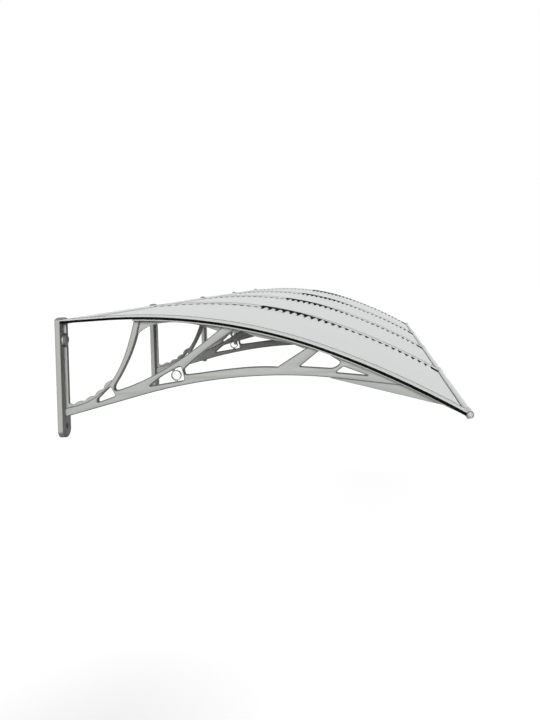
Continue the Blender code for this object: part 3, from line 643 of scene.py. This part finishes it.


# Seals
# Black rubber profiles between flange and cover strip, with a slot on each side for a panel's
# edge and a thin lip up beside the strip. Teeth on one side fill the valleys of the ripples, and
# a bead closes the front rail's mouth. The teeth's length along the valleys and the lip's height
# change along the arch, so that their black is partly painted shade in the valleys.

seal_high = 0.0025
rest_end = rail_at - rail_radius - 2 * fit
gap_low, gap_high = -0.0017, 0.0009
rubber_black = finish("rubber_black", (0.006, 0.006, 0.006), (0.003, 0.003, 0.003), (0.70, 0.85),
                      cloud=12.0, grain=700.0, relief=0.15, depth=0.0004, gloss=0.06)


def lip_side(slotted, lip, flap):
    """One side of the rubber section from its foot to its head, (x, n) points at each station.

    The points are joined as they are listed: the rounded foot, the slot for a sheet or a shallow
    groove in its place, a thin flap that lies on the sheet as far as given, and a thin lip that
    stands up beside the cover strip to the height given.
    """
    foot, out = 0.0004, half_post
    points = [(out - foot, seal_low), (out - foot * 0.3, seal_low + foot * 0.3), (out, seal_low + foot)]
    if slotted:
        points += [(out, gap_low - 0.0001), (out - 0.0003, gap_low), (seal_stem, gap_low),
                   (seal_stem, gap_high - 0.0001)]
    else:
        points += [(out, -0.0013), (out - 0.0009, -0.0008), (out - 0.0009, 0.0006)]
    points += [(out + flap, 0.0003), (out + flap, 0.0004), (out + flap * 0.6, 0.0010),
               (out + flap * 0.1, 0.0014), (out + 0.0006, lip - 0.0002), (out + 0.0004, lip),
               (out + 0.0001, lip - 0.0002), (out + 0.0001, seal_high), (out - foot, seal_high)]
    return np.stack([np.stack([x + 0 * lip, n + 0 * lip], axis=-1) for x, n in points], axis=1)


stations = np.r_[rest_start, waves[waves < rest_end - 0.001], rest_end]
out_at = arch(stations)[0]
plain_lip, far_lip, plain_flap = (np.full(len(stations), size) for size in (0.0030, 0.0062, 0.0008))
# Painted shade: the near lip rises and the teeth reach far along the valleys over the middle and front of
# the arch, so the black rubber stands in for shade there
near_lip = np.interp(out_at, [0.375, 0.39, 0.52, 0.60, 0.70, 0.85],
                     [0.0030, 0.0086, 0.0084, 0.0058, 0.0038, 0.0044])
valley_shade_tooth = np.interp(out_at, [0.26, 0.34, 0.35, 0.375, 0.39, 0.62, 0.70, 0.80, 0.88, 0.96],
                  [0.010, 0.016, 0.002, 0.002, 0.052, 0.046, 0.018, 0.018, 0.030, 0.030])
no_tooth_over, full_tooth_under = 0.0016, 0.0010
in_valley = (no_tooth_over - ripple_height(stations)) / (no_tooth_over - full_tooth_under)
near_flap = plain_flap + (valley_shade_tooth - plain_flap) * np.clip(in_valley, 0, 1)
# Painted shade: the depth of the end seals' black hanging edge grows towards the front, standing in for
# shade under the flange
shade_hang = np.interp(out_at, [0.55, 0.72, 0.88, 0.96], [0.0002, 0.0009, 0.0019, 0.0018])[:, None]
for i, x in enumerate(bracket_lines):
    # The near side holds the rippled edge of one panel, the far side the plain edge of the next
    near_slot, far_slot = i > 0, i < 4
    far = lip_side(far_slot, far_lip if far_slot else plain_lip, plain_flap)
    near = lip_side(near_slot, near_lip if near_slot else plain_lip, near_flap if near_slot else plain_flap)
    section = np.concatenate([far, (near * [-1, 1])[:, ::-1]], axis=1)
    grid = place(x + section[..., 0], on_arch(stations[:, None] + 0 * section[..., 1], section[..., 1]))
    parts = [beam(grid)]
    if far_slot:
        # Bead in the mouth of the front rail, from this bracket to the next
        bead = on_arch(rail_at - np.array([0.0097, 0.0083, 0.0083, 0.0097]),
                       np.array([0.0005, 0.0005, 0.0019, 0.0017]))
        ends = np.array([x + half_post + 0.001, x + module - half_post - 0.001])
        parts.append(beam(place(ends[:, None], np.broadcast_to(bead, (2, *bead.shape)))))
    if not (near_slot and far_slot):
        # Hanging edge on the outer side of the two end seals, partly the seal's own rubber and deeper
        # towards the front as painted shade under the flange
        side = 1 if near_slot else -1
        across = x + side * (half_post + np.array([0.0001, 0.0006, 0.0006, 0.0001]))
        under_seal = seal_low + 0.0003 + 0 * shade_hang
        level = np.hstack([under_seal, under_seal, seal_low - shade_hang, seal_low - shade_hang])
        rows = on_arch(np.broadcast_to(stations[:, None], level.shape), level)
        parts.append(beam(place(across[None], rows)))
    fit_piece(make_piece(f"rubber_seal_{i + 1}", parts, rubber_black, sharp=30),
              "seal_rubber", f"seal_{i + 1}")


# Cover strips
# Flat aluminium bars bent to the arch on top of the seals, thinned at the front end into a
# hook that turns over the rail. The grain of the drawn metal runs along them.

strip_low, strip_high = 0.0028, 0.0056
half_strip = 0.0015
hook_inner, hook_outer, hook_end = bed, bed + 0.0014, -25
high_level = strip_high - rail_level
turn_from = 180 - math.degrees(math.asin(high_level / hook_outer))
flat_end = rail_at - math.sqrt(hook_outer**2 - high_level**2)
stations = np.linspace(rest_start, flat_end, 170)
turns = np.linspace(turn_from - 6, hook_end, 34)
low_line = np.vstack([on_arch(stations, strip_low), by_rail(np.full(len(turns), hook_inner), turns)])
high_line = np.vstack([on_arch(stations, strip_high), by_rail(np.full(len(turns), hook_outer), turns)])
run = np.r_[0, np.cumsum(np.linalg.norm(np.diff(high_line, axis=0), axis=1))]

# At each station the section is a box that is stretched between the low line and the high one
across = box_section(half_post, -half_strip, half_strip, 0.0006)
share = ((across[:, 1] + half_strip) / (2 * half_strip))[None, :, None]
section = low_line[:, None] * (1 - share) + high_line[:, None] * share
drawn_metal = finish("drawn_metal", (0.59, 0.60, 0.595), (0.54, 0.55, 0.545), (0.50, 0.62), metallic=0.15,
                     gloss=0.2, cloud=3.0, grain=260.0, relief=0.08, depth=0.0002, stretch=(0.25, 9, 1),
                     on_uv=True)


def lay_uv(piece, uv):
    """Gives a piece the map of its own lengths, in metres, one (u, v) for each of its points."""
    layer = piece.data.uv_layers.new(name="lengths")
    corner = np.zeros(len(piece.data.loops), int)
    piece.data.loops.foreach_get("vertex_index", corner)
    layer.data.foreach_set("uv", np.asarray(uv, np.float32)[corner].ravel())


for i, x in enumerate(bracket_lines):
    grid = place(x + across[None, :, 0], section)
    bar = make_piece(f"strip_bar_{i + 1}", [beam(grid)], drawn_metal, sharp=50)
    lengths = np.broadcast_to(run[:, None], grid.shape[:2]).ravel()
    widths = np.broadcast_to(x + across[None, :, 0], grid.shape[:2]).ravel()
    lay_uv(bar, np.stack([lengths, widths], axis=-1))
    fit_piece(bar, "strip_aluminium", f"cover_strip_{i + 1}")


# Front rail
# Four lengths of round aluminium tube along the front edge, with a slot at the back whose two
# lips grip the panels. A domed cap closes each end and a cross-head screw holds it.

slot_level, half_slot, lip_wall, tube_wall = -0.0033, 0.0013, 0.0010, 0.0016
lip_low, lip_high = slot_level - half_slot, slot_level + half_slot
inner = rail_radius - tube_wall
slope = arch(rail_at)[2]
axis_at = on_arch(rail_at, rail_level)


def beside_axis(points):
    """(along, up) points measured from the rail's axis, turned to the arch's slope there."""
    along, up = np.array(points, float).T
    turned_d = along * math.cos(slope) - up * math.sin(slope)
    return axis_at + np.stack([turned_d, along * math.sin(slope) + up * math.cos(slope)], axis=-1)


# The outline runs round the outside from lip to lip, in over the upper lip, back round the
# inside, and out over the lower lip
outer_low, outer_high = (180 + math.degrees(math.asin(-v / rail_radius)) for v in (lip_low, lip_high))
inner_low = 180 + math.degrees(math.asin((lip_wall - lip_low) / inner))
inner_high = 180 - math.degrees(math.asin((lip_high + lip_wall) / inner))
outside = by_rail(np.full(72, rail_radius), np.linspace(outer_low, outer_high + 360, 72))
inside = by_rail(np.full(48, inner), np.linspace(inner_high + 360, inner_low, 48))
upper_lip = beside_axis([(-rail_mouth, lip_high), (-rail_mouth, lip_high + lip_wall)])
lower_lip = beside_axis([(-rail_mouth, lip_low - lip_wall), (-rail_mouth, lip_low)])
tube = np.vstack([outside, upper_lip, inside, lower_lip])
anodised = finish("anodised", (0.66, 0.67, 0.66), (0.60, 0.61, 0.60), (0.42, 0.52), metallic=0.40,
                  gloss=0.3, cloud=2.0, grain=420.0, relief=0.07, depth=0.0002, stretch=(0.06, 3, 3))
for i, x in enumerate(bracket_lines[:-1]):
    start = x + (-half_post if i == 0 else fit)
    end = x + module + (half_post if i == 3 else -fit)
    grid = place(np.linspace(start, end, 13)[:, None], np.broadcast_to(tube, (13, *tube.shape)))
    fit_piece(make_piece(f"rail_tube_{i + 1}", [beam(grid)], anodised), "rail_aluminium",
              f"front_rail_{i + 1}")

# End caps: a dome of 64 degrees over the tube's end, cut flat at the top, on a plug
dome_height, plug_end, plug_radius = 0.0046, -0.0110, 0.0030
cap_top = fit + dome_height
turns = np.linspace(0, math.radians(64), 14)
dome = np.stack([fit + dome_height * (0.25 + 0.75 * np.sin(turns) / math.sin(turns[-1])),
                 rail_radius * np.cos(turns)], axis=-1)
profile = [(plug_end, 0), (plug_end, plug_radius), (fit, plug_radius + 0.0002), (fit, rail_radius - fit),
           (2 * fit, rail_radius), *dome, (cap_top, plug_radius), (cap_top, 0)]
for number, side, x in ((1, -1, bracket_lines[0]), (2, 1, bracket_lines[-1])):
    middle = place(np.array(x + side * half_post), axis_at)
    part = turned(profile, middle, (side, 0, 0))
    fit_piece(make_piece(f"rail_dome_{number}", [part], cap_grey), "cap_plastic", f"rail_end_cap_{number}")

screw_metal = finish("screw_metal", (0.60, 0.60, 0.59), (0.48, 0.48, 0.47), (0.25, 0.38), metallic=1.0,
                     cloud=200.0, grain=2500.0, relief=0.05, depth=0.0001)
for number in (1, 2):
    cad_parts[f"rail_cap_screw_{number}"].material_slots[0].material = screw_metal


# Rear rail
# Low aluminium extrusions that lie against the wall between the posts. A slot along each takes
# the rear edge of a panel.

mouth, bottom = panel_start + 0.0065, panel_start - fit
below, above, jaw = -0.0064, 0.0060, 0.0021
outline = np.array([(0, below), (bottom * 0.8, below), (mouth, gap_low - jaw), (mouth, gap_low),
                    (bottom, gap_low), (bottom, gap_high), (mouth, gap_high), (mouth, gap_high + jaw),
                    (bottom, above * 0.85), (bottom * 0.65, above), (0, above)])
outline = rounded(outline * 1000, (0.2, 1.2, 0.5, 0.3, 0.2, 0.2, 0.3, 0.7, 1.2, 1.5, 0.2), steps=4)
outline[:, 1] += arch_height + outline[:, 0] * math.tan(arch_tilt)
for i, x in enumerate(bracket_lines[:-1]):
    span = np.linspace(x + half_post + fit, x + module - half_post - fit, 9)
    grid = place(span[:, None], np.broadcast_to(outline, (9, *outline.shape)))
    fit_piece(make_piece(f"wall_rail_{i + 1}", [beam(grid)], anodised), "rail_aluminium",
              f"rear_rail_{i + 1}")


# Camera
# It stands beyond the near end of the canopy, a little above the crown of the arch, looks
# straight along the canopy and is rolled by two degrees.

camera_at = (-2.6143, -0.7608, 0.2328)
roll = math.radians(1.91)
camera_data = bpy.data.cameras.new("camera")
camera_data.lens = 29.1
camera_data.shift_x = -0.1389
camera_data.shift_y = -0.1222
camera = bpy.data.objects.new("camera", camera_data)
bpy.context.scene.collection.objects.link(camera)
camera.matrix_world = Matrix((
    (0, 0, -1, camera_at[0]),
    (-math.cos(roll), -math.sin(roll), 0, camera_at[1]),
    (-math.sin(roll), math.cos(roll), 0, camera_at[2]),
    (0, 0, 0, 1),
))
bpy.context.scene.camera = camera


# Floor and lights
# A plain pale floor at doorstep depth below the canopy and a white surround, both of which light
# the canopy only a little, a broad soft light from above and a second one from the near side.

seen_white = bpy.data.worlds.new("surround")
bpy.context.scene.world = seen_white
seen_white.use_nodes = True
tree = seen_white.node_tree
tree.nodes.clear()


def seen_rays(tree):
    """1 for rays that come from the camera, a mirror or through glass, and 0 for the rest."""
    rays = tree.nodes.new("ShaderNodeLightPath")
    first = tree.nodes.new("ShaderNodeMath")
    first.operation = "MAXIMUM"
    tree.links.new(rays.outputs["Is Camera Ray"], first.inputs[0])
    tree.links.new(rays.outputs["Is Glossy Ray"], first.inputs[1])
    second = tree.nodes.new("ShaderNodeMath")
    second.operation = "MAXIMUM"
    tree.links.new(first.outputs[0], second.inputs[0])
    tree.links.new(rays.outputs["Is Transmission Ray"], second.inputs[1])
    return second.outputs[0]


glow = tree.nodes.new("ShaderNodeBackground")
glow.inputs["Color"].default_value = (1, 1, 1, 1)
glow.inputs["Strength"].default_value = 0.05
white = tree.nodes.new("ShaderNodeBackground")
white.inputs["Color"].default_value = (1, 1, 1, 1)
white.inputs["Strength"].default_value = 1.0
choice = tree.nodes.new("ShaderNodeMixShader")
out = tree.nodes.new("ShaderNodeOutputWorld")
tree.links.new(seen_rays(tree), choice.inputs[0])
tree.links.new(glow.outputs[0], choice.inputs[1])
tree.links.new(white.outputs[0], choice.inputs[2])
tree.links.new(choice.outputs[0], out.inputs["Surface"])

floor_level, floor_reach = -2.1, 60
corners = [(x, y, floor_level) for x, y in (
    (-floor_reach, -floor_reach),
    (floor_reach, -floor_reach),
    (floor_reach, floor_reach),
    (-floor_reach, floor_reach),
)]
floor_mesh = bpy.data.meshes.new("floor")
floor_mesh.from_pydata(corners, [], [(0, 1, 2, 3)])
floor = bpy.data.objects.new("floor", floor_mesh)
bpy.context.scene.collection.objects.link(floor)
pale_floor = bpy.data.materials.new("pale_floor")
pale_floor.use_nodes = True
tree = pale_floor.node_tree
tree.nodes.clear()
matt = tree.nodes.new("ShaderNodeBsdfDiffuse")
matt.inputs["Color"].default_value = (0.10, 0.10, 0.10, 1)
lit = tree.nodes.new("ShaderNodeBsdfDiffuse")
lit.inputs["Color"].default_value = (0.55, 0.55, 0.55, 1)
lift = tree.nodes.new("ShaderNodeEmission")
lift.inputs["Color"].default_value = (1, 1, 1, 1)
lift.inputs["Strength"].default_value = 0.60
both = tree.nodes.new("ShaderNodeAddShader")
choice = tree.nodes.new("ShaderNodeMixShader")
out = tree.nodes.new("ShaderNodeOutputMaterial")
tree.links.new(lit.outputs[0], both.inputs[0])
tree.links.new(lift.outputs[0], both.inputs[1])
tree.links.new(seen_rays(tree), choice.inputs[0])
tree.links.new(matt.outputs[0], choice.inputs[1])
tree.links.new(both.outputs[0], choice.inputs[2])
tree.links.new(choice.outputs[0], out.inputs["Surface"])
floor_mesh.materials.append(pale_floor)

for name, energy, spread, towards in (
    ("top_light", 1.56, 30, (0.20, -0.60, 1.0)),
    ("side_light", 2.86, 32, (-1.0, 0.08, 0.41)),
):
    lamp = bpy.data.lights.new(name, "SUN")
    lamp.energy = energy
    lamp.angle = math.radians(spread)
    lamp_at = bpy.data.objects.new(name, lamp)
    bpy.context.scene.collection.objects.link(lamp_at)
    lamp_at.rotation_euler = Vector(towards).to_track_quat("Z", "Y").to_euler()

bpy.context.scene.view_settings.view_transform = "Standard"
